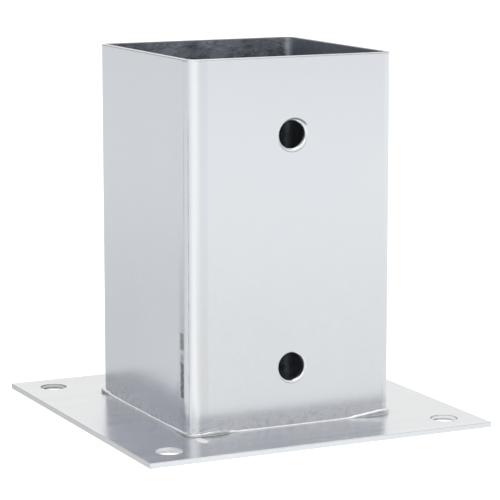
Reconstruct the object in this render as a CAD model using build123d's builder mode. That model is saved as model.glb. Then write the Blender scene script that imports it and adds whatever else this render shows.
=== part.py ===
"""Bolt-down post anchor: a square sleeve of folded sheet, welded upright on a flat base plate.

Millimetres, +Z up. The origin is the centre of the plate's underside. The sleeve stands on
the middle of the plate, its two cross-bolted faces look along -Y (front) and +Y (back), and
the seam that closes the folded sheet is at the front-left bend.
"""
from build123d import *
import os

# Base plate: a square of flat sheet with one anchor-bolt hole near each corner.
plate_side = 150.0
plate_thickness = 2.0
anchor_hole_diameter = 11.0
anchor_hole_spacing = 122.0
anchor_hole_rollover = 0.15
plate_edge_rollover = 0.25

# Sleeve: one folded sheet, open at the top, with two cross-bolt holes through front and back.
overall_height = 150.0
sleeve_width = 90.0
sheet_thickness = 2.0
bend_radius = 4.5
cross_hole_diameter = 11.0
cross_hole_rollover = 1.4
lower_cross_hole_height = 26.0
cross_hole_pitch = 93.0
rim_outer_rollover = 0.5
rim_inner_rollover = 0.2

# Seam weld: fills the gap between the sheet's two edges, where the left wall starts to bend
# towards the front. The turn is the angle round the bend from its start to the weld's middle.
seam_width = 3.0
seam_turn = 11.5

# Foot weld: four straight passes, tied in round the four bends by short, heavier beads.
pass_leg = 1.0
corner_leg = 2.2
corner_tail = 9.0
face_crown = 1.12

# Worked out from the values above.
sleeve_height = overall_height - plate_thickness
socket_width = sleeve_width - 2 * sheet_thickness
socket_radius = bend_radius - sheet_thickness
bend_centre = sleeve_width / 2 - bend_radius
pass_length = 2 * (bend_centre - corner_tail)
sleeve_foot = Plane.XY.offset(plate_thickness)
tolerance = 0.01


def draw_sheet_section():
    """The closed square section of the folded sheet, as if it had no seam."""
    RectangleRounded(sleeve_width, sleeve_width, bend_radius)
    RectangleRounded(socket_width, socket_width, socket_radius, mode=Mode.SUBTRACT)


def draw_seam_gap(mode):
    """The strip square through the sheet at the front-left bend that the seam weld takes up."""
    middle_radius = bend_radius - sheet_thickness / 2
    with Locations(Location((-bend_centre, -bend_centre), 180 + seam_turn)):
        with Locations((middle_radius, 0)):
            Rectangle(2 * sheet_thickness, seam_width, mode=mode)


def draw_fillet_weld(leg, wall):
    """A convex fillet weld's section: x runs out from the wall, y up from the plate."""
    crown = leg / 2 * face_crown
    with BuildLine() as outline:
        Line((wall, 0), (wall + leg, 0))
        ThreePointArc((wall + leg, 0), (wall + crown, crown), (wall, leg))
        Line((wall, leg), (wall, 0))
    make_face(outline.edges())


def rim_edges(piece, half_width, corner_radius):
    """Edges of a piece's top face along the square outline of that half-width and corner radius."""
    top_edges = piece.faces().sort_by(Axis.Z)[-1].edges()
    straight_edges = top_edges.filter_by(GeomType.LINE).filter_by(
        lambda edge: abs(max(abs(edge.center().X), abs(edge.center().Y)) - half_width) < tolerance
    )
    bend_edges = top_edges.filter_by(GeomType.CIRCLE).filter_by(
        lambda edge: abs(edge.radius - corner_radius) < tolerance
    )
    return straight_edges + bend_edges


def round_rim(piece):
    """Round the sheared edge at a piece's top, more on its outside than in the socket."""
    fillet(rim_edges(piece, sleeve_width / 2, bend_radius), radius=rim_outer_rollover)
    fillet(rim_edges(piece, socket_width / 2, socket_radius), radius=rim_inner_rollover)


def outward(turn):
    """The outward direction of the front face, turned about +Z by a number of degrees."""
    return Vector(0, -1, 0).rotate(Axis.Z, turn)


# ---------------------------------------------------------------- base plate
with BuildPart() as base_plate:
    with BuildSketch():
        Rectangle(plate_side, plate_side)
        with GridLocations(anchor_hole_spacing, anchor_hole_spacing, 2, 2):
            Circle(anchor_hole_diameter / 2, mode=Mode.SUBTRACT)
    extrude(amount=plate_thickness)
    top_edges = base_plate.faces().sort_by(Axis.Z)[-1].edges()
    fillet(top_edges.filter_by(GeomType.CIRCLE), radius=anchor_hole_rollover)
    top_edges = base_plate.faces().sort_by(Axis.Z)[-1].edges()
    fillet(top_edges.filter_by(GeomType.LINE), radius=plate_edge_rollover)

# ------------------------------------------------------------ folded sleeve
with BuildPart() as sleeve:
    with BuildSketch(sleeve_foot):
        draw_sheet_section()
        draw_seam_gap(Mode.SUBTRACT)
    extrude(amount=sleeve_height)
    # Cross-bolt holes, punched through the front and back walls on one axis each.
    with BuildSketch(Plane.XZ):
        for step in range(2):
            with Locations((0, lower_cross_hole_height + step * cross_hole_pitch)):
                Circle(cross_hole_diameter / 2)
    extrude(amount=sleeve_width, both=True, mode=Mode.SUBTRACT)
    hole_edges = sleeve.edges().filter_by(GeomType.CIRCLE).filter_by(
        lambda edge: abs(abs(edge.center().Y) - sleeve_width / 2) < tolerance
    )
    fillet(hole_edges, radius=cross_hole_rollover)
    round_rim(sleeve)

# ---------------------------------------------------------------- seam weld
with BuildPart() as seam_weld:
    with BuildSketch(sleeve_foot):
        draw_sheet_section()
        draw_seam_gap(Mode.INTERSECT)
    extrude(amount=sleeve_height)
    round_rim(seam_weld)

# ----------------------------------------------------- foot weld, four sides
pieces = {"base_plate": base_plate, "sleeve": sleeve, "seam_weld": seam_weld}
for side, turn in {"front": 0, "right": 90, "back": 180, "left": 270}.items():
    normal = outward(turn)
    along = normal.cross(Vector(0, 0, 1))
    start = normal * (sleeve_width / 2) - along * (pass_length / 2)
    with BuildPart() as weld_pass:
        section_plane = Plane(start + Vector(0, 0, plate_thickness), x_dir=normal, z_dir=along)
        with BuildSketch(section_plane):
            draw_fillet_weld(pass_leg, 0)
        extrude(amount=pass_length)
    pieces["weld_" + side] = weld_pass

# --------------------------------------------------- foot weld, four corners
corners = {"front_right": 0, "back_right": 90, "back_left": 180, "front_left": 270}
for corner, turn in corners.items():
    first_normal = outward(turn)
    second_normal = outward(turn + 90)
    bend_axis_foot = (first_normal + second_normal) * bend_centre + Vector(0, 0, plate_thickness)
    with BuildPart() as weld_corner:
        first_plane = Plane(bend_axis_foot, x_dir=first_normal, z_dir=-second_normal)
        with BuildSketch(first_plane):
            draw_fillet_weld(corner_leg, bend_radius)
        revolve(axis=Axis(bend_axis_foot, (0, 0, 1)), revolution_arc=90)
        with BuildSketch(first_plane):
            draw_fillet_weld(corner_leg, bend_radius)
        extrude(amount=corner_tail)
        with BuildSketch(Plane(bend_axis_foot, x_dir=second_normal, z_dir=first_normal)):
            draw_fillet_weld(corner_leg, bend_radius)
        extrude(amount=-corner_tail)
    pieces["weld_corner_" + corner] = weld_corner

# ------------------------------------------------------------------- export
os.makedirs("parts", exist_ok=True)
for name, piece in pieces.items():
    piece.part.label = name
    export_step(piece.part, "parts/" + name + ".step")
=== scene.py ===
"""Looks of the bolt-down post anchor: zinc materials, weld beads, camera, floor and light.

Metres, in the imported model's frame: +Z up, the origin under the middle of the base plate, the
front face towards -Y. The plate and the sleeve stay as packed and get zinc materials. The
foot weld and the seam weld are replaced by meshes with the shape of real weld beads.
"""
import math

import bpy
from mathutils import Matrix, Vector, noise


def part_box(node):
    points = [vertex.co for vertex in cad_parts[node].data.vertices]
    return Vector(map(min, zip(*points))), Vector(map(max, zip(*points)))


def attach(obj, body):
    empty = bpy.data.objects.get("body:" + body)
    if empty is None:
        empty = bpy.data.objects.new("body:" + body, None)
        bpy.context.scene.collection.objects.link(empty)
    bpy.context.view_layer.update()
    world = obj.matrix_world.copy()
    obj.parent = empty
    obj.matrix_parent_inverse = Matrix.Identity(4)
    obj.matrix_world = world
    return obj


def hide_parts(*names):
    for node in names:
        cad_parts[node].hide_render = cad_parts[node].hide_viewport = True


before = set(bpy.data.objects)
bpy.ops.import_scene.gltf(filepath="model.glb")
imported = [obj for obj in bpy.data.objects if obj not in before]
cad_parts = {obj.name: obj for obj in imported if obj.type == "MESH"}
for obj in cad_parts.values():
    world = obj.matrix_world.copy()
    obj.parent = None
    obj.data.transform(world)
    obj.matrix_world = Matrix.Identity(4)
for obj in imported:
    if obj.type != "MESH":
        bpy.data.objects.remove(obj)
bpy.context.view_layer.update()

MM = 0.001

# Camera: a pitched view from the front left, above the object.
VIEW_AZIMUTH = 25.95
VIEW_DOWN = 9.63
VIEW_DISTANCE = 0.96504
VIEW_AIM = (0.00319, 0.0, 0.06612)
VIEW_LENS = 167.94
VIEW_SENSOR = 36.0

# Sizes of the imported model, and where the seam weld's toes lie. WALL and FLAT are the distances
# from the middle to a wall's outer skin and to a bend's centre.
PLATE_LOW, PLATE_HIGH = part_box("base_plate")
SLEEVE_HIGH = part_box("sleeve")[1]
SEAM_LOW, SEAM_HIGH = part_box("seam_weld")
PLATE_TOP = PLATE_HIGH[2]
RIM = SLEEVE_HIGH[2]
WALL = SLEEVE_HIGH[0]
SHEET = 2 * MM
BEND = 4.5 * MM
FLAT = WALL - BEND
SEAM_TOE_LEFT = -39.9 * MM
SEAM_TOE_RIGHT = -42.7 * MM
PLATE_EDGE = PLATE_HIGH[0]
ANCHOR_HOLE_OFFSET = 61 * MM
ANCHOR_HOLE_RADIUS = 5.5 * MM
UPPER_HOLE_HEIGHT = 119 * MM


# ------------------------------------------------------------------ node trees
class Tree:
    """Short calls for building one node tree."""

    def __init__(self, owner):
        owner.use_nodes = True
        self.nodes = owner.node_tree.nodes
        self.links = owner.node_tree.links
        self.nodes.clear()

    def add(self, kind, inputs=None, **settings):
        """A new node; inputs maps socket names or numbers to values or to other sockets."""
        made = self.nodes.new(kind)
        for key, value in settings.items():
            setattr(made, key, value)
        for key, value in (inputs or {}).items():
            if isinstance(value, bpy.types.NodeSocket):
                self.links.new(value, made.inputs[key])
            else:
                made.inputs[key].default_value = value
        return made

    def math(self, operation, first, second=0.0, third=0.0):
        inputs = {0: first, 1: second}
        if operation == "MULTIPLY_ADD":
            inputs[2] = third
        return self.add("ShaderNodeMath", inputs, operation=operation).outputs[0]

    def span(self, value, low, high, to_low=0.0, to_high=1.0):
        """Value eased from low..high to to_low..to_high, held at the ends."""
        made = self.add(
            "ShaderNodeMapRange",
            {"Value": value, "From Min": low, "From Max": high, "To Min": to_low, "To Max": to_high},
            interpolation_type="SMOOTHSTEP",
        )
        return made.outputs[0]

    def place(self):
        """The point's place in the object's own frame, and its three parts."""
        point = self.add("ShaderNodeTexCoord").outputs["Object"]
        parts = self.add("ShaderNodeSeparateXYZ", {0: point})
        return point, parts.outputs[0], parts.outputs[1], parts.outputs[2]

    def scaled(self, point, scale):
        made = self.add("ShaderNodeVectorMath", {0: point, 1: scale}, operation="MULTIPLY")
        return made.outputs[0]

    def reach(self, across, deep):
        """The length of the flat vector with those two parts."""
        flat = self.add("ShaderNodeCombineXYZ", {0: across, 1: deep})
        made = self.add("ShaderNodeVectorMath", {0: flat.outputs[0]}, operation="LENGTH")
        return made.outputs["Value"]

    def noise(self, point, scale, detail=2.0, rough=0.5, distortion=0.0):
        made = self.add(
            "ShaderNodeTexNoise",
            {"Vector": point, "Scale": scale, "Detail": detail, "Roughness": rough, "Distortion": distortion},
        )
        return made.outputs["Fac"]

    def cells(self, point, scale):
        """A random grey for each cell of a cell pattern."""
        made = self.add("ShaderNodeTexVoronoi", {"Vector": point, "Scale": scale})
        return self.add("ShaderNodeSeparateColor", {0: made.outputs["Color"]}).outputs[0]

    def ramp(self, value, stops):
        """A colour eased between stops, each a place from 0 to 1 and a colour."""
        made = self.add("ShaderNodeValToRGB", {0: value})
        made.color_ramp.interpolation = "EASE"
        elements = made.color_ramp.elements
        elements.remove(elements[1])
        elements[0].position, elements[0].color = stops[0][0], (*stops[0][1], 1.0)
        for position, colour in stops[1:]:
            elements.new(position).color = (*colour, 1.0)
        return made.outputs[0]

    def mix(self, amount, first, second):
        made = self.add("ShaderNodeMix", {0: amount, 6: first, 7: second}, data_type="RGBA")
        return made.outputs[2]

    def brighten(self, colour, value):
        """The colour times a grey value."""
        made = self.add("ShaderNodeVectorMath", {0: colour, "Scale": value}, operation="SCALE")
        return made.outputs[0]

    def bump(self, height, distance):
        inputs = {"Strength": 1.0, "Distance": distance, "Height": height}
        return self.add("ShaderNodeBump", inputs).outputs[0]


# ------------------------------------------------------------------- materials
ZINC_BLUE = (0.760, 0.777, 0.792)
ZINC_PLAIN = (0.768, 0.780, 0.790)
# The socket's zinc: a darker copy of the outer zinc, painted shade for the inside of the socket.
SOCKET_ZINC_SHADED = (0.40, 0.43, 0.47)
RIM_ZINC = (0.63, 0.64, 0.65)
# Grey of the painted reflection spot on the plate.
REFLECTION_SPOT_GREY = (0.95, 0.955, 0.96)
BEAD_ZINC = (0.822, 0.836, 0.850)
SKIN_BUMP = 0.01 * MM
BEAD_BUMP = 0.03 * MM

# Marks in the zinc, painted shade beside the seam and the left bends, and a painted reflection on the plate:
# where each lies, and how much of the light it takes away.
SEAM_TOE_SHADE_DARK = 0.16
SEAM_TOE_SHADE_END = (118 * MM, 134 * MM)
SCUFF_DARK = 0.72
SCUFF_ACROSS = (-41.4 * MM, -37.1 * MM)
SCUFF_LOW = (17 * MM, 30 * MM)
SCUFF_MIDDLE = (30 * MM, 33.5 * MM)
SCUFF_HIGH = (36 * MM, 42 * MM)
SMUDGE_ACROSS = (-34.3 * MM, -33.2 * MM)
SMUDGE_UP = (15 * MM, 21 * MM)
BEND_SIDE_SHADE_DARK = 0.05
BEND_SIDE_SHADE_ACROSS = (-39.4 * MM, -37.6 * MM)
ARC_DARK = 0.68
ARC_SHIFT = 0.7 * MM
ARC_RADII = (6.2 * MM, 6.6 * MM)
REFLECTION_SPOT_MIDDLE = (-42.8 * MM, -51.5 * MM)
REFLECTION_SPOT_HALF = (2.6 * MM, 4.5 * MM)


def blend(tree, amount, first, second):
    """A value between two values or sockets."""
    made = tree.add("ShaderNodeMix", {0: amount, 2: first, 3: second})
    return made.outputs[0]


def times(tree, first, second):
    return tree.math("MULTIPLY", first, second)


def skin_distance(tree, x, y):
    """How far outside the square through the four bend centres the point is, in metres."""
    across = tree.math("SUBTRACT", tree.math("ABSOLUTE", x), FLAT)
    deep = tree.math("SUBTRACT", tree.math("ABSOLUTE", y), FLAT)
    outer = tree.reach(tree.math("MAXIMUM", across, 0.0), tree.math("MAXIMUM", deep, 0.0))
    inner = tree.math("MINIMUM", tree.math("MAXIMUM", across, deep), 0.0)
    return tree.math("ADD", outer, inner)


def square_reach(tree, x, y):
    """The larger of the point's distances from the middle along X and along Y."""
    return tree.math("MAXIMUM", tree.math("ABSOLUTE", x), tree.math("ABSOLUTE", y))


def zinc_surface(tree, colour, roughness, normal):
    surface = tree.add(
        "ShaderNodeBsdfPrincipled",
        {"Base Color": colour, "Metallic": 1.0, "Roughness": roughness, "Normal": normal},
    )
    tree.add("ShaderNodeOutputMaterial", {"Surface": surface.outputs[0]})


def outer_skin(tree, x, y):
    """1 on the sleeve's outer skin, 0 on the skin of the socket."""
    return tree.span(skin_distance(tree, x, y), BEND - 1.4 * MM, BEND - 1.1 * MM)


def within(tree, value, low, high, soft):
    """1 between low and high, easing to 0 over the width soft beyond each."""
    rise = tree.span(value, low - soft, low)
    fall = tree.span(value, high, high + soft, 1.0, 0.0)
    return times(tree, rise, fall)


def zinc_skin(tree, point, streak):
    """Colour, roughness and height of satin zinc on sheet; streak is its rolling pattern."""
    cloud = tree.noise(point, 28.0, 3.0)
    tint = tree.noise(point, 11.0, 2.0)
    grain = tree.noise(point, 1100.0, 3.0, 0.6)
    spangle = tree.cells(point, 380.0)
    scratch = tree.noise(tree.scaled(point, (35.0, 35.0, 3200.0)), 1.0, 1.0)
    scratch = tree.span(scratch, 0.66, 0.74)
    value = tree.math("MULTIPLY_ADD", cloud, 0.05, 0.955)
    value = tree.math("MULTIPLY_ADD", spangle, 0.016, value)
    value = tree.math("MULTIPLY_ADD", grain, 0.024, value)
    value = tree.math("MULTIPLY_ADD", streak, 0.012, value)
    value = tree.math("MULTIPLY_ADD", scratch, -0.007, value)
    tinted = tree.mix(tree.span(tint, 0.35, 0.65), (*ZINC_BLUE, 1.0), (*ZINC_PLAIN, 1.0))
    colour = tree.brighten(tinted, value)
    rough = tree.math("MULTIPLY_ADD", cloud, 0.07, 0.165)
    rough = tree.math("MULTIPLY_ADD", streak, 0.025, rough)
    rough = tree.math("MULTIPLY_ADD", spangle, 0.02, rough)
    rough = tree.math("MULTIPLY_ADD", scratch, 0.015, rough)
    height = tree.math("MULTIPLY_ADD", streak, 0.2, times(tree, grain, 0.5))
    return colour, rough, height


def foot_heat_and_shade(tree, point, z, colour, rough):
    """Darken and blotch the zinc in a narrow band above the plate: flecks where the weld heated it, and
    painted shade in blotches just above the weld.
    """
    flecks = tree.noise(point, 420.0, 3.0, 0.6)
    ragged = tree.math("MULTIPLY_ADD", flecks, 4 * MM, z)
    band = tree.span(ragged, PLATE_TOP + 4.5 * MM, PLATE_TOP + 9.0 * MM, 1.0, 0.0)
    fleck = times(tree, band, tree.span(flecks, 0.56, 0.66))
    # Painted shade: blotchy darkening of the band just above the weld.
    soot_and_shade = times(tree, band, tree.span(flecks, 0.48, 0.36))
    value = tree.math("MULTIPLY_ADD", fleck, 0.10, 1.0)
    value = tree.math("MULTIPLY_ADD", soot_and_shade, -0.14, value)
    colour = tree.brighten(colour, value)
    rough = tree.math("MULTIPLY_ADD", band, 0.08, rough)
    return colour, rough


def seam_toe_shade(tree, point, x, y, z):
    """Painted shade: thin broken dark lines along both toes of the seam weld, fading out some way below the
    rim.
    """
    side = tree.span(x, -FLAT + 0.4 * MM, -FLAT + 0.2 * MM)
    wave = tree.noise(tree.scaled(point, (0.0, 0.0, 160.0)), 1.0, 2.0)
    shift = tree.math("MULTIPLY_ADD", wave, 0.5 * MM, y)
    left = within(tree, shift, SEAM_TOE_LEFT - 0.16 * MM, SEAM_TOE_LEFT + 0.16 * MM, 0.2 * MM)
    right = within(tree, shift, SEAM_TOE_RIGHT - 0.2 * MM, SEAM_TOE_RIGHT + 0.2 * MM, 0.15 * MM)
    both = times(tree, side, tree.math("MAXIMUM", left, right))
    faded = times(tree, both, tree.span(z, *SEAM_TOE_SHADE_END, 1.0, 0.0))
    breaks = tree.noise(tree.scaled(point, (0.0, 0.0, 90.0)), 1.0, 2.0)
    return times(tree, faded, tree.span(breaks, 0.25, 0.6, 0.35, 1.0))


def seam_scuff(tree, point, x, y, z):
    """Gritty dark marks on the left wall, low down beside the seam."""
    side = tree.span(x, -WALL + 0.4 * MM, -WALL + 0.1 * MM)
    grit = tree.noise(tree.scaled(point, (1.0, 1.0, 0.6)), 1000.0, 4.0, 0.75)
    edge = tree.math("SUBTRACT", tree.noise(point, 620.0, 3.0, 0.65), 0.5)
    ragged = tree.math("MULTIPLY_ADD", edge, 3.0 * MM, y)
    column = within(tree, ragged, *SCUFF_ACROSS, 1.3 * MM)
    low = within(tree, z, *SCUFF_LOW, 1.5 * MM)
    high = times(tree, within(tree, z, *SCUFF_HIGH, 1.0 * MM), 0.85)
    middle = times(tree, within(tree, z, *SCUFF_MIDDLE, 0.8 * MM), 0.6)
    length = tree.math("MAXIMUM", tree.math("MAXIMUM", low, high), middle)
    mark = times(tree, times(tree, column, length), tree.span(grit, 0.32, 0.50, 0.5, 1.0))
    smudge = within(tree, y, *SMUDGE_ACROSS, 0.6 * MM)
    smudge = times(tree, smudge, within(tree, z, *SMUDGE_UP, 2 * MM))
    haze = tree.span(y, -39.5 * MM, -33.0 * MM, 1.0, 0.0)
    haze = times(tree, haze, within(tree, z, 20 * MM, 40 * MM, 50 * MM))
    faint = tree.math("MAXIMUM", times(tree, haze, 0.34), times(tree, smudge, 0.2))
    return times(tree, side, tree.math("MAXIMUM", mark, faint))


def bend_side_shade(tree, x, y):
    """Painted shade: slightly darker strips of the front and back walls beside their left bends."""
    strip = within(tree, x, *BEND_SIDE_SHADE_ACROSS, 1.4 * MM)
    wall = tree.span(tree.math("ABSOLUTE", y), WALL - 0.4 * MM, WALL - 0.2 * MM)
    return times(tree, strip, wall)


def hole_arc(tree, x, y, z):
    """A dark arc over the front's upper cross-bolt hole, just outside the punched edge."""
    rise = tree.math("SUBTRACT", z, UPPER_HOLE_HEIGHT)
    radius = tree.reach(tree.math("SUBTRACT", x, ARC_SHIFT), rise)
    ring = within(tree, radius, *ARC_RADII, 0.4 * MM)
    top = tree.span(tree.math("DIVIDE", rise, radius), 0.45, 0.75)
    face = tree.span(y, -WALL + 1.5 * MM, -WALL + 1.2 * MM)
    return times(tree, times(tree, ring, top), face)


def socket_zinc(tree, point, x, y, z):
    """Colour and roughness of the dull, blotched zinc in the socket, with painted glints at the folds,
    painted shade deeper down and painted light low down.
    """
    blotch = tree.noise(tree.scaled(point, (0.7, 0.7, 1.5)), 260.0, 5.0, 0.7, 0.4)
    patch = tree.noise(point, 60.0, 3.0)
    speck = tree.noise(tree.scaled(point, (0.8, 0.8, 1.6)), 620.0, 2.0)
    value = tree.span(blotch, 0.30, 0.70, 0.40, 1.40)
    value = times(tree, value, tree.span(patch, 0.3, 0.7, 0.75, 1.2))
    value = tree.math("MULTIPLY_ADD", tree.span(speck, 0.60, 0.70), 0.35, value)
    right_wall = tree.span(x, 40.5 * MM, 42.5 * MM, 0.0, 0.75)
    value = blend(tree, right_wall, value, 0.78)
    # Painted glint: the zinc paler where the socket's walls meet.
    fold_across = tree.span(tree.math("ABSOLUTE", x), 38.5 * MM, 41 * MM)
    fold_deep = tree.span(tree.math("ABSOLUTE", y), 38.5 * MM, 41 * MM)
    fold_glint = times(tree, fold_across, fold_deep)
    value = times(tree, value, tree.math("MULTIPLY_ADD", fold_glint, 0.7, 1.0))
    # Painted shade: darker from 142 mm down to 108 mm and below.
    value = times(tree, value, tree.span(z, 108 * MM, 142 * MM, 0.46, 1.0))
    # Painted light: brighter from 60 mm down to 25 mm and below.
    value = times(tree, value, tree.span(z, 25 * MM, 60 * MM, 1.9, 1.0))
    return tree.brighten(SOCKET_ZINC_SHADED, value), tree.span(blotch, 0.3, 0.7, 0.5, 0.34)


def make_sleeve_zinc():
    """Satin zinc outside; dull, blotched zinc in the socket with painted shade, glints and light; a sheared
    rim, darker towards the right as painted shade.
    """
    material = bpy.data.materials.new("sleeve_zinc_look")
    tree = Tree(material)
    point, x, y, z = tree.place()
    outside = outer_skin(tree, x, y)
    streak = tree.noise(tree.scaled(point, (45.0, 45.0, 1300.0)), 1.0, 2.0)
    skin, skin_rough, height = zinc_skin(tree, point, streak)
    skin, skin_rough = foot_heat_and_shade(tree, point, z, skin, skin_rough)
    dark = times(tree, seam_toe_shade(tree, point, x, y, z), SEAM_TOE_SHADE_DARK)
    scuff = seam_scuff(tree, point, x, y, z)
    dark = tree.math("MAXIMUM", dark, times(tree, scuff, SCUFF_DARK))
    dark = tree.math("MAXIMUM", dark, times(tree, hole_arc(tree, x, y, z), ARC_DARK))
    dark = tree.math("MAXIMUM", dark, times(tree, bend_side_shade(tree, x, y), BEND_SIDE_SHADE_DARK))
    skin = tree.brighten(skin, tree.math("SUBTRACT", 1.0, dark))
    skin_rough = tree.math("MULTIPLY_ADD", scuff, 0.25, skin_rough)
    socket, socket_rough = socket_zinc(tree, point, x, y, z)
    colour = tree.mix(outside, socket, skin)
    rough = blend(tree, outside, socket_rough, skin_rough)
    rim = tree.span(z, RIM - 0.7 * MM, RIM - 0.35 * MM)
    # Painted shade: the sheared rim darker towards the right, where its highlight fades.
    sheared = tree.brighten(RIM_ZINC, tree.span(x, -40 * MM, 10 * MM, 1.0, 0.85))
    colour = tree.mix(times(tree, rim, 0.9), colour, sheared)
    rough = blend(tree, times(tree, rim, 0.8), rough, 0.38)
    zinc_surface(tree, colour, rough, tree.bump(height, SKIN_BUMP))
    return material


def hole_lines(tree, point, x, y, z):
    """Dark lines round the top and foot of the anchor holes' walls, fainter at the front left; the line at
    the foot is painted contact shadow.
    """
    across = tree.math("SUBTRACT", tree.math("ABSOLUTE", x), ANCHOR_HOLE_OFFSET)
    deep = tree.math("SUBTRACT", tree.math("ABSOLUTE", y), ANCHOR_HOLE_OFFSET)
    radius = tree.reach(across, deep)
    wall = tree.span(radius, ANCHOR_HOLE_RADIUS + 0.25 * MM, ANCHOR_HOLE_RADIUS + 0.12 * MM)
    top = times(tree, tree.span(z, 1.55 * MM, 1.8 * MM), 0.5)
    foot = times(tree, tree.span(z, 0.7 * MM, 0.45 * MM), 0.75)
    corner = tree.span(tree.math("ADD", x, y), -100 * MM, -60 * MM, 0.2, 1.0)
    uneven = tree.noise(tree.scaled(point, (260.0, 260.0, 0.0)), 1.0, 1.0)
    uneven = tree.span(uneven, 0.4, 0.6, 0.45, 1.0)
    lines = times(tree, tree.math("MAXIMUM", top, foot), uneven)
    return times(tree, times(tree, wall, corner), lines)


def painted_reflection_spot(tree, point, x, y):
    """A painted reflection on the plate: a pale matt spot in front of the front-left corner weld, standing
    for the corner bead's highlight reflected in the plate.
    """
    wobble = tree.math("SUBTRACT", tree.noise(point, 300.0, 3.0), 0.5)
    across = tree.math("DIVIDE", tree.math("SUBTRACT", x, REFLECTION_SPOT_MIDDLE[0]), REFLECTION_SPOT_HALF[0])
    deep = tree.math("DIVIDE", tree.math("SUBTRACT", y, REFLECTION_SPOT_MIDDLE[1]), REFLECTION_SPOT_HALF[1])
    radius = tree.math("MULTIPLY_ADD", wobble, 1.2, tree.reach(across, deep))
    return tree.span(radius, 0.6, 1.1, 1.0, 0.0)


def plate_edge(tree, x, y, z):
    """1 on the plate's rounded top edge, 0 elsewhere."""
    reach = square_reach(tree, x, y)
    edge = tree.span(reach, PLATE_EDGE - 0.35 * MM, PLATE_EDGE - 0.2 * MM)
    return times(tree, edge, tree.span(z, PLATE_TOP - 0.3 * MM, PLATE_TOP - 0.15 * MM))


def make_plate_zinc():
    """Satin zinc with rolling lines along X, duller edges, lined holes with painted shade, and a painted
    reflection spot in front of the front-left weld.
    """
    material = bpy.data.materials.new("plate_zinc_look")
    tree = Tree(material)
    point, x, y, z = tree.place()
    streak = tree.noise(tree.scaled(point, (16.0, 520.0, 520.0)), 1.0, 3.0, 0.6)
    colour, rough, height = zinc_skin(tree, point, streak)
    rolled = tree.noise(tree.scaled(point, (9.0, 210.0, 210.0)), 1.0, 2.0)
    colour = tree.brighten(colour, tree.span(rolled, 0.3, 0.7, 0.98, 1.01))
    rough = tree.math("ADD", rough, tree.span(rolled, 0.3, 0.7, -0.01, 0.02))
    depth = skin_distance(tree, x, y)
    ragged = tree.math("MULTIPLY_ADD", tree.noise(point, 300.0, 3.0), 3 * MM, depth)
    # Weld tint and painted shade: the plate a little darker close round the sleeve's foot.
    heat_and_shade = tree.span(ragged, BEND + 2.5 * MM, BEND + 8 * MM, 1.0, 0.0)
    colour = tree.brighten(colour, tree.math("MULTIPLY_ADD", heat_and_shade, -0.05, 1.0))
    rough = tree.math("MULTIPLY_ADD", heat_and_shade, 0.03, rough)
    # Painted contact shadow at the foot of the anchor holes' walls, with dark lines at their top.
    colour = tree.brighten(colour, tree.math("SUBTRACT", 1.0, hole_lines(tree, point, x, y, z)))
    edge = plate_edge(tree, x, y, z)
    colour = tree.brighten(colour, tree.math("MULTIPLY_ADD", edge, -0.10, 1.0))
    reflection_spot = painted_reflection_spot(tree, point, x, y)
    colour = tree.mix(reflection_spot, colour, (*REFLECTION_SPOT_GREY, 1.0))
    rough = blend(tree, reflection_spot, rough, 0.72)
    zinc_surface(tree, colour, rough, tree.bump(height, SKIN_BUMP))
    return material


def make_seam_zinc():
    """Ground weld: the sleeve's zinc with fine lines across it and painted shade at its toes."""
    material = bpy.data.materials.new("dressed_weld_look")
    tree = Tree(material)
    point, x, y, z = tree.place()
    streak = tree.noise(tree.scaled(point, (150.0, 150.0, 700.0)), 1.0, 3.0)
    colour, rough, height = zinc_skin(tree, point, streak)
    colour, rough = foot_heat_and_shade(tree, point, z, colour, rough)
    dark = times(tree, seam_toe_shade(tree, point, x, y, z), SEAM_TOE_SHADE_DARK)
    colour = tree.brighten(colour, tree.math("SUBTRACT", 1.0, dark))
    rough = tree.math("MULTIPLY_ADD", streak, 0.03, rough)
    outside = outer_skin(tree, x, y)
    # Inside the socket the seam's root takes the socket's zinc, darkened as painted shade.
    colour = tree.mix(outside, (*SOCKET_ZINC_SHADED, 1.0), colour)
    rough = blend(tree, outside, 0.42, rough)
    zinc_surface(tree, colour, rough, tree.bump(height, SKIN_BUMP))
    return material


def make_weld_zinc():
    """Zinc over a weld bead: cloudy, with painted shade as a darker line along both toes and over the bead's
    outer part.
    """
    material = bpy.data.materials.new("foot_weld_look")
    tree = Tree(material)
    point, x, y, z = tree.place()
    cloud = tree.noise(point, 260.0, 3.0)
    grain = tree.noise(point, 1700.0, 2.0, 0.6)
    lift = tree.math("SUBTRACT", z, PLATE_TOP)
    out = tree.math("SUBTRACT", skin_distance(tree, x, y), BEND)
    # Painted shade: darker along the toes, where the bead meets the plate and the wall, and the further the
    # bead reaches from the wall.
    toe = tree.span(tree.math("MINIMUM", lift, out), 0.02 * MM, 0.30 * MM)
    skirt_shade = tree.span(out, 0.45 * MM, 1.5 * MM, 1.0, 0.66)
    value = tree.math("MULTIPLY_ADD", cloud, 0.14, 0.90)
    value = times(tree, times(tree, value, skirt_shade), tree.span(toe, 0.0, 1.0, 0.75, 1.0))
    colour = tree.brighten(BEAD_ZINC, value)
    rough = tree.math("MULTIPLY_ADD", cloud, 0.16, 0.16)
    rough = tree.math("ADD", rough, tree.span(toe, 0.0, 1.0, 0.12, 0.0))
    zinc_surface(tree, colour, rough, tree.bump(grain, BEAD_BUMP))
    return material


# ------------------------------------------------------------------ foot weld
FLAT_RUN = 2 * FLAT
BEND_RUN = math.pi / 2 * BEND
QUARTER = FLAT_RUN + BEND_RUN
AROUND = 4 * QUARTER

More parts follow.
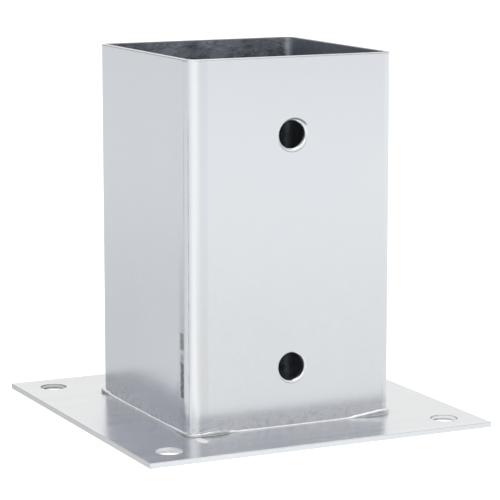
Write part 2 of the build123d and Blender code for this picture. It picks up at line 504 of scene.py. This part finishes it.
# Each row: the distance along the sleeve's foot, and the bead's height and reach there, all in
# millimetres. The distance is 0 in the middle of the front and grows round by the right. The
# last row is the first again, once round.
BEAD_SIZES = (
    (-47.5, 1.45, 1.5),
    (-44.0, 1.55, 2.1),
    (-40.5, 1.85, 2.5),
    (-36.5, 2.2, 2.7),
    (-33.0, 2.25, 2.4),
    (-30.0, 1.75, 1.7),
    (-27.0, 1.1, 1.1),
    (-23.0, 0.6, 0.65),
    (-10.0, 0.5, 0.55),
    (0.0, 0.48, 0.52),
    (18.0, 0.5, 0.55),
    (25.0, 0.6, 0.6),
    (30.0, 1.25, 0.8),
    (36.0, 1.95, 0.95),
    (40.5, 2.4, 1.05),
    (44.0, 2.4, 1.0),
    (47.5, 2.0, 0.95),
    (53.0, 1.2, 0.85),
    (60.0, 0.75, 0.75),
    (88.0, 0.6, 0.6),
    (118.0, 0.7, 0.7),
    (126.0, 1.8, 1.9),
    (132.0, 2.2, 2.2),
    (138.0, 2.3, 2.4),
    (143.0, 1.2, 1.3),
    (148.0, 0.7, 0.7),
    (176.0, 0.6, 0.6),
    (205.0, 0.7, 0.7),
    (213.0, 1.5, 1.4),
    (220.0, 2.0, 1.8),
    (226.0, 1.4, 1.3),
    (231.0, 0.8, 0.9),
    (250.0, 0.6, 0.65),
    (283.0, 0.62, 0.62),
    (296.0, 0.95, 0.9),
    (304.77, 1.45, 1.5),
)
BEAD_STEP = 0.22 * MM
BEAD_RISE = 14
RIPPLE_PITCH = 1.1 * MM
RIPPLE_DEPTH = 0.035 * MM
LONG_WAVE = 5 * MM
SHORT_WAVE = 1.6 * MM
CURL = math.radians(26)
BURIED = 0.15 * MM
TAIL = 9.0 * MM


def foot_at(way):
    """The point on the sleeve's foot at that distance along it, and its outward direction."""
    way = (way + FLAT_RUN / 2) % AROUND
    side = int(way // QUARTER)
    rest = way - side * QUARTER
    if rest <= FLAT_RUN:
        point = Vector((rest - FLAT, -WALL))
        outward = Vector((0.0, -1.0))
    else:
        angle = (rest - FLAT_RUN) / BEND
        outward = Vector((math.sin(angle), -math.cos(angle)))
        point = Vector((FLAT, -FLAT)) + outward * BEND
    turn = side * math.pi / 2
    cosine, sine = math.cos(turn), math.sin(turn)

    def turned(v):
        return Vector((v.x * cosine - v.y * sine, v.x * sine + v.y * cosine))

    return turned(point), turned(outward)


def bead_size(way):
    """The bead's height and reach at that distance along the foot, eased between the rows."""
    way_mm = way / MM
    span_mm = AROUND / MM
    first = BEAD_SIZES[0][0]
    way_mm = (way_mm - first) % span_mm + first
    for (w0, h0, r0), (w1, h1, r1) in zip(BEAD_SIZES, BEAD_SIZES[1:]):
        if way_mm <= w1:
            t = (way_mm - w0) / (w1 - w0)
            t = t * t * (3 - 2 * t)
            return (h0 + (h1 - h0) * t) * MM, (r0 + (r1 - r0) * t) * MM
    return BEAD_SIZES[-1][1] * MM, BEAD_SIZES[-1][2] * MM


def wander(way, seed, scale):
    """Smooth noise along the closed way round the foot."""
    angle = 2 * math.pi * way / AROUND
    radius = AROUND / (2 * math.pi * scale)
    return noise.noise(Vector((math.cos(angle) * radius, math.sin(angle) * radius, seed)))


def bead_section(way):
    """Points of the bead's skin at one place, from the toe on the plate to the toe on the wall.

    A heavy bead is fuller, and curls under a little towards its toe on the plate.
    """
    point, outward = foot_at(way)
    height, reach = bead_size(way)
    height *= 1 + 0.14 * wander(way, 1.0, LONG_WAVE) + 0.05 * wander(way, 2.0, SHORT_WAVE)
    reach *= 1 + 0.14 * wander(way, 5.0, LONG_WAVE) + 0.06 * wander(way, 6.0, SHORT_WAVE)
    heavy = min(1.0, max(0.0, (height - 0.9 * MM) / MM))
    fullness = 1.25 - 0.35 * heavy
    curl = CURL * heavy
    low = -math.sin(curl) ** fullness
    rows = []
    for step in range(BEAD_RISE + 1):
        t = step / BEAD_RISE
        angle = t * (math.pi / 2 + curl) - curl
        round_out = max(0.0, math.cos(angle)) ** fullness
        round_up = math.copysign(abs(math.sin(angle)) ** fullness, angle)
        out = reach * round_out
        up = height * (round_up - low) / (1 - low)
        middle = math.sin(math.pi * t)
        phase = (way + 1.2 * MM * middle) / RIPPLE_PITCH
        dip = RIPPLE_DEPTH * middle * (0.5 - 0.5 * math.cos(2 * math.pi * phase))
        out -= dip * math.cos(angle)
        up -= dip * max(0.0, math.sin(angle))
        place = point + outward * out
        rows.append(Vector((place.x, place.y, PLATE_TOP + up)))
    return rows


def close_section(way, skin):
    """The skin's points plus the three that close the section, sunk in the wall and the plate."""
    point, outward = foot_at(way)
    toe = skin[0].copy()
    toe.z = PLATE_TOP - BURIED
    inner = point - outward * BURIED
    heel = Vector((inner.x, inner.y, PLATE_TOP - BURIED))
    top = Vector((inner.x, inner.y, skin[-1].z))
    return skin + [top, heel, toe]


def add_mesh(name, vertices, faces, normals=None):
    """A new mesh object; normals holds one direction for each corner of each face."""
    mesh = bpy.data.meshes.new(name)
    mesh.from_pydata([tuple(v) for v in vertices], [], faces)
    mesh.validate()
    mesh.update()
    if normals is not None:
        mesh.polygons.foreach_set("use_smooth", [True] * len(mesh.polygons))
        mesh.normals_split_custom_set(normals)
    made = bpy.data.objects.new(name, mesh)
    bpy.context.scene.collection.objects.link(made)
    return made


def make_bead(name, start, end, material):
    """One piece of the foot weld, between two distances along the foot."""
    count = max(2, round((end - start) / BEAD_STEP))
    ways = [start + (end - start) * i / count for i in range(count + 1)]
    padded = [start - BEAD_STEP] + ways + [end + BEAD_STEP]
    skins = [bead_section(way) for way in padded]
    across = BEAD_RISE + 1
    skin_normals = []
    for i in range(1, len(padded) - 1):
        row = []
        for j in range(across):
            along = skins[i + 1][j] - skins[i - 1][j]
            over = skins[i][min(j + 1, across - 1)] - skins[i][max(j - 1, 0)]
            row.append(along.cross(over).normalized())
        skin_normals.append(row)
    rings = [close_section(way, skin) for way, skin in zip(ways, skins[1:-1])]
    size = len(rings[0])
    vertices = [point for ring in rings for point in ring]
    faces, normals = [], []
    for i in range(count):
        for j in range(size):
            k = (j + 1) % size
            corners = [(i, j), (i + 1, j), (i + 1, k), (i, k)]
            faces.append([a * size + b for a, b in corners])
            if j < across - 1:
                normals.extend(skin_normals[a][b] for a, b in corners)
            else:
                p = [rings[a][b] for a, b in corners]
                flat = (p[1] - p[0]).cross(p[2] - p[0]).normalized()
                normals.extend([flat] * 4)
    for ring_index, order in ((0, range(size)), (count, range(size - 1, -1, -1))):
        faces.append([ring_index * size + j for j in order])
        p = [rings[ring_index][j] for j in order]
        flat = sum((p[m].cross(p[(m + 1) % size]) for m in range(size)), Vector()).normalized()
        normals.extend([flat] * size)
    bead = add_mesh(name + "_bead", vertices, faces, normals)
    bead.data.materials.append(material)
    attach(bead, "root")
    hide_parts(name)


def make_foot_weld():
    """Four passes and four corner beads, cut from one unbroken bead round the foot."""
    material = make_weld_zinc()
    pass_run = FLAT_RUN - 2 * TAIL
    corner_run = BEND_RUN + 2 * TAIL
    start = -pass_run / 2
    sides = ("front", "right", "back", "left")
    corners = ("front_right", "back_right", "back_left", "front_left")
    for side, corner in zip(sides, corners):
        make_bead("weld_" + side, start, start + pass_run, material)
        start += pass_run
        make_bead("weld_corner_" + corner, start, start + corner_run, material)
        start += corner_run


# ------------------------------------------------------------------- seam weld
SEAM_ACROSS = 12
SEAM_STEP = 0.5 * MM
SEAM_CROWN = 0.10 * MM
SEAM_OVERLAP = 0.22 * MM
SEAM_PROUD = 0.015 * MM
SEAM_RIPPLE = 0.012 * MM
SEAM_RIPPLE_PITCH = 1.3 * MM
ROOT_CROWN = 0.35 * MM
ROOT_FROM = -16
ROOT_TURN = 72
RIM_ROUND = 0.5 * MM


def bend_at(y, radius):
    """The point at that Y on the front-left bend's skin of that radius, or on the flat beside it."""
    deep = -FLAT - y
    if deep <= 0:
        return Vector((-FLAT - radius, y))
    deep = min(deep, radius)
    return Vector((-FLAT - math.sqrt(radius * radius - deep * deep), y))


def wave_at(z, scale, seed):
    """Smooth noise up the seam; seed is a pair of numbers that sets it apart from the others."""
    return noise.noise(Vector((*seed, z / scale)))


def seam_row(z):
    """One level of the seam weld: its outer skin from left toe to right, then its root, back."""
    wave_left = wave_at(z, 4 * MM, (0.3, 7.1)) + 0.4 * wave_at(z, MM, (1.3, 2.1))
    wave_right = wave_at(z, 4 * MM, (5.3, 1.1)) + 0.4 * wave_at(z, MM, (4.3, 8.1))
    left_y = SEAM_TOE_LEFT + SEAM_OVERLAP * (1 + 0.8 * wave_left)
    right_y = SEAM_TOE_RIGHT - SEAM_OVERLAP * (1 + 0.8 * wave_right)
    left, right = bend_at(left_y, BEND), bend_at(right_y, BEND)
    chord = right - left
    proud = Vector((chord.y, -chord.x)).normalized()
    if proud.x > 0:
        proud = -proud
    near_rim = max(0.0, z - (RIM - RIM_ROUND))
    inset = RIM_ROUND - math.sqrt(max(0.0, RIM_ROUND**2 - near_rim**2))
    ripple = SEAM_RIPPLE * math.sin(2 * math.pi * z / SEAM_RIPPLE_PITCH)
    outer = []
    for step in range(SEAM_ACROSS + 1):
        t = step / SEAM_ACROSS
        rise = SEAM_PROUD + (SEAM_CROWN + ripple) * math.sin(math.pi * t) - inset
        outer.append(left.lerp(right, t) + proud * rise)
    root = []
    inner = BEND - SHEET
    root_wave = 1 + 0.5 * wave_at(z, 3 * MM, (9.3, 4.1))
    for step in range(SEAM_ACROSS + 1):
        t = 1 - step / SEAM_ACROSS
        turn = math.radians(ROOT_FROM + ROOT_TURN * t)
        around = Vector((-math.cos(turn), -math.sin(turn)))
        flat_point = Vector((-FLAT, -FLAT)) + around * inner
        if turn < 0:
            flat_point = Vector((-FLAT - inner, -FLAT - inner * math.sin(turn)))
        rise = ROOT_CROWN * root_wave * math.sin(math.pi * t) - 0.05 * MM
        root.append(flat_point - around * rise)
    return [Vector((p.x, p.y, z)) for p in outer + root]


def make_seam_weld():
    """The ground-down weld that closes the folded sheet, with its root bead in the socket."""
    low, high = SEAM_LOW[2], SEAM_HIGH[2]
    count = round((high - low) / SEAM_STEP)
    levels = [low + (high - low) * i / count for i in range(count)]
    levels += [high - 0.2 * MM, high - 0.06 * MM, high]
    rings = [seam_row(z) for z in sorted(levels)]
    size = len(rings[0])
    vertices = [point for ring in rings for point in ring]
    faces = []
    for i in range(len(rings) - 1):
        for j in range(size):
            k = (j + 1) % size
            faces.append([i * size + j, i * size + k, (i + 1) * size + k, (i + 1) * size + j])
    faces.append([j for j in range(size - 1, -1, -1)])
    faces.append([(len(rings) - 1) * size + j for j in range(size)])
    seam = add_mesh("seam_weld_bead", vertices, faces)
    seam.data.polygons.foreach_set("use_smooth", [True] * len(seam.data.polygons))
    seam.data.set_sharp_from_angle(angle=math.radians(35))
    seam.data.materials.append(make_seam_zinc())
    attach(seam, "root")
    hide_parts("seam_weld")


# ------------------------------------------------------------- floor and light
def azimuth_of(tree, x, y):
    """The direction's turn from +Y towards +X, as 0 to 1, with 0.5 straight along +Y."""
    angle = tree.math("ARCTAN2", x, y)
    return tree.math("MULTIPLY_ADD", angle, 1 / (2 * math.pi), 0.5)


def around_stops(rows):
    """Ramp stops from rows of azimuth in degrees and grey."""
    return [((azimuth + 180) / 360, grey) for azimuth, grey in rows]


def grey(value, tint=(1.0, 1.0, 0.995)):
    return tuple(value * part for part in tint)


# Greys of the studio round the object, by azimuth in degrees: 0 is behind it, 90 to its right.
# Only reflections see them. The floor has greys beside the plate, near it and far from it.
FRONT_TINT = (1.0, 1.02, 1.037)
LEFT_TINT = (1.0, 1.025, 1.063)
DUSK_TINT = (1.0, 1.0, 1.20)
SKY_LOW = (
    (-180, grey(0.90)),
    (-122, grey(0.90)),
    (-98, grey(0.75, DUSK_TINT)),
    (-60, grey(0.55, DUSK_TINT)),
    (-42, grey(0.36, DUSK_TINT)),
    (-25, grey(0.36, DUSK_TINT)),
    (5, grey(0.96)),
    (25, grey(0.95)),
    (60, grey(0.92)),
    (110, grey(0.80)),
    (145, grey(0.38, DUSK_TINT)),
    (158, grey(0.38, DUSK_TINT)),
    (178, grey(0.80)),
    (180, grey(0.90)),
)
SKY_MID = (
    (-180, grey(1.00)),
    (-130, grey(0.80)),
    (-75, grey(0.75)),
    (-35, grey(0.62)),
    (-10, grey(1.05)),
    (90, grey(1.05)),
    (155, grey(1.10)),
    (180, grey(1.00)),
)
FLOOR_FAR = (
    (-180, grey(1.18)),
    (-150, grey(1.18)),
    (-128, grey(1.08)),
    (-108, grey(0.90, LEFT_TINT)),
    (-72, grey(0.88, LEFT_TINT)),
    (-50, grey(0.82, LEFT_TINT)),
    (-25, grey(0.80, LEFT_TINT)),
    (25, grey(1.0)),
    (155, grey(1.05, FRONT_TINT)),
    (166, grey(1.05, FRONT_TINT)),
    (178, grey(1.18)),
    (180, grey(1.18)),
)
FLOOR_NEAR = (
    (-180, grey(0.90, FRONT_TINT)),
    (-172, grey(0.90, FRONT_TINT)),
    (-158, grey(1.12)),
    (-135, grey(1.14)),
    (-112, grey(0.87, LEFT_TINT)),
    (-72, grey(0.84, LEFT_TINT)),
    (-50, grey(0.74, LEFT_TINT)),
    (-25, grey(0.68, LEFT_TINT)),
    (25, grey(0.9)),
    (155, grey(0.90, FRONT_TINT)),
    (180, grey(0.90, FRONT_TINT)),
)
FLOOR_BESIDE = (
    (-180, grey(1.06, FRONT_TINT)),
    (-138, grey(1.06, FRONT_TINT)),
    (-132, grey(0.72)),
    (-60, grey(0.68)),
    (-45, grey(0.66)),
    (-20, grey(0.85)),
    (180, grey(1.06, FRONT_TINT)),
)

# Where one band gives way to the next: sines of height for the sky, metres for the floor.
SKY_LOW_TO_MID = (0.24, 0.44)
SKY_MID_TO_TOP = (0.90, 0.97)
SKY_TOP = (1.35, 1.35, 1.37, 1.0)
FLOOR_BESIDE_TO_NEAR = (PLATE_EDGE + 3 * MM, PLATE_EDGE + 14 * MM)
FLOOR_NEAR_TO_FAR = (0.08, 0.8)
FLOOR_SIDE = 6.0
FLOOR_GAP = 0.2 * MM


def make_floor():
    """A wide white floor; it looks white and gives the metal a softly graded reflection."""
    level = PLATE_LOW[2] - FLOOR_GAP
    turns = ((-1, -1), (1, -1), (1, 1), (-1, 1))
    corners = [(across * FLOOR_SIDE, deep * FLOOR_SIDE, level) for across, deep in turns]
    floor = add_mesh("studio_floor", corners, [(0, 1, 2, 3)])
    material = bpy.data.materials.new("studio_floor_white")
    tree = Tree(material)
    point, x, y, z = tree.place()
    turn = azimuth_of(tree, x, y)
    far = tree.ramp(turn, around_stops(FLOOR_FAR))
    near = tree.ramp(turn, around_stops(FLOOR_NEAR))
    distance = tree.add("ShaderNodeVectorMath", {0: point}, operation="LENGTH").outputs["Value"]
    graded = tree.mix(tree.span(distance, *FLOOR_NEAR_TO_FAR), near, far)
    beside = tree.ramp(turn, around_stops(FLOOR_BESIDE))
    reach = square_reach(tree, x, y)
    graded = tree.mix(tree.span(reach, *FLOOR_BESIDE_TO_NEAR), beside, graded)
    glow = tree.add("ShaderNodeEmission", {"Color": graded})
    white = tree.add("ShaderNodeBsdfDiffuse", {"Color": (0.85, 0.85, 0.85, 1.0)})
    lift = tree.add("ShaderNodeEmission", {"Color": (1.0, 1.0, 1.0, 1.0), "Strength": 0.45})
    seen = tree.add("ShaderNodeAddShader", {0: white.outputs[0], 1: lift.outputs[0]})
    path = tree.add("ShaderNodeLightPath")
    surface = tree.add(
        "ShaderNodeMixShader",
        {0: path.outputs["Is Camera Ray"], 1: glow.outputs[0], 2: seen.outputs[0]},
    )
    tree.add("ShaderNodeOutputMaterial", {"Surface": surface.outputs[0]})
    material.cycles.emission_sampling = "NONE"
    floor.data.materials.append(material)


def make_world():
    """A sky that looks white to the camera and is graded in three bands for reflections."""
    world = bpy.data.worlds.new("studio_world")
    bpy.context.scene.world = world
    tree = Tree(world)
    direction = tree.add("ShaderNodeTexCoord").outputs["Generated"]
    parts = tree.add("ShaderNodeSeparateXYZ", {0: direction})
    x, y, z = parts.outputs[0], parts.outputs[1], parts.outputs[2]
    low = tree.ramp(azimuth_of(tree, x, y), around_stops(SKY_LOW))
    middle = tree.ramp(azimuth_of(tree, x, y), around_stops(SKY_MID))
    graded = tree.mix(tree.span(z, *SKY_LOW_TO_MID), low, middle)
    graded = tree.mix(tree.span(z, *SKY_MID_TO_TOP), graded, SKY_TOP)
    path = tree.add("ShaderNodeLightPath")
    colour = tree.mix(path.outputs["Is Camera Ray"], graded, (1.0, 1.0, 1.0, 1.0))
    background = tree.add("ShaderNodeBackground", {"Color": colour})
    tree.add("ShaderNodeOutputWorld", {"Surface": background.outputs[0]})


def add_softbox(name, azimuth, elevation, distance, size, power):
    """A square softbox aimed at the object, in degrees and metres; the camera doesn't see it."""
    light = bpy.data.lights.new(name, "AREA")
    light.shape = "SQUARE"
    light.size = size
    light.energy = power
    made = bpy.data.objects.new(name, light)
    turn, rise = math.radians(azimuth), math.radians(elevation)
    outward = Vector(
        (math.sin(turn) * math.cos(rise), math.cos(turn) * math.cos(rise), math.sin(rise))
    )
    made.location = Vector(VIEW_AIM) + outward * distance
    made.rotation_euler = (-outward).to_track_quat("-Z", "Y").to_euler()
    made.visible_camera = False
    bpy.context.scene.collection.objects.link(made)


def make_camera():
    turn, down = math.radians(VIEW_AZIMUTH), math.radians(VIEW_DOWN)
    forward = Vector(
        (math.sin(turn) * math.cos(down), math.cos(turn) * math.cos(down), -math.sin(down))
    )
    data = bpy.data.cameras.new("camera")
    data.lens = VIEW_LENS
    data.sensor_width = VIEW_SENSOR
    data.clip_start = 0.01
    data.clip_end = 50.0
    camera = bpy.data.objects.new("camera", data)
    camera.location = Vector(VIEW_AIM) - forward * VIEW_DISTANCE
    camera.rotation_euler = forward.to_track_quat("-Z", "Y").to_euler()
    bpy.context.scene.collection.objects.link(camera)
    bpy.context.scene.camera = camera


def dress(node, material):
    """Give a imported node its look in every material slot."""
    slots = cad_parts[node].material_slots
    for slot in slots:
        slot.material = material


make_camera()
make_world()
make_floor()
add_softbox("softbox_left", azimuth=-125, elevation=45, distance=1.8, size=1.6, power=5)
add_softbox("softbox_top", azimuth=60, elevation=80, distance=1.9, size=1.2, power=5)
bpy.context.scene.view_settings.view_transform = "Standard"

dress("sleeve", make_sleeve_zinc())
dress("base_plate", make_plate_zinc())
make_foot_weld()
make_seam_weld()
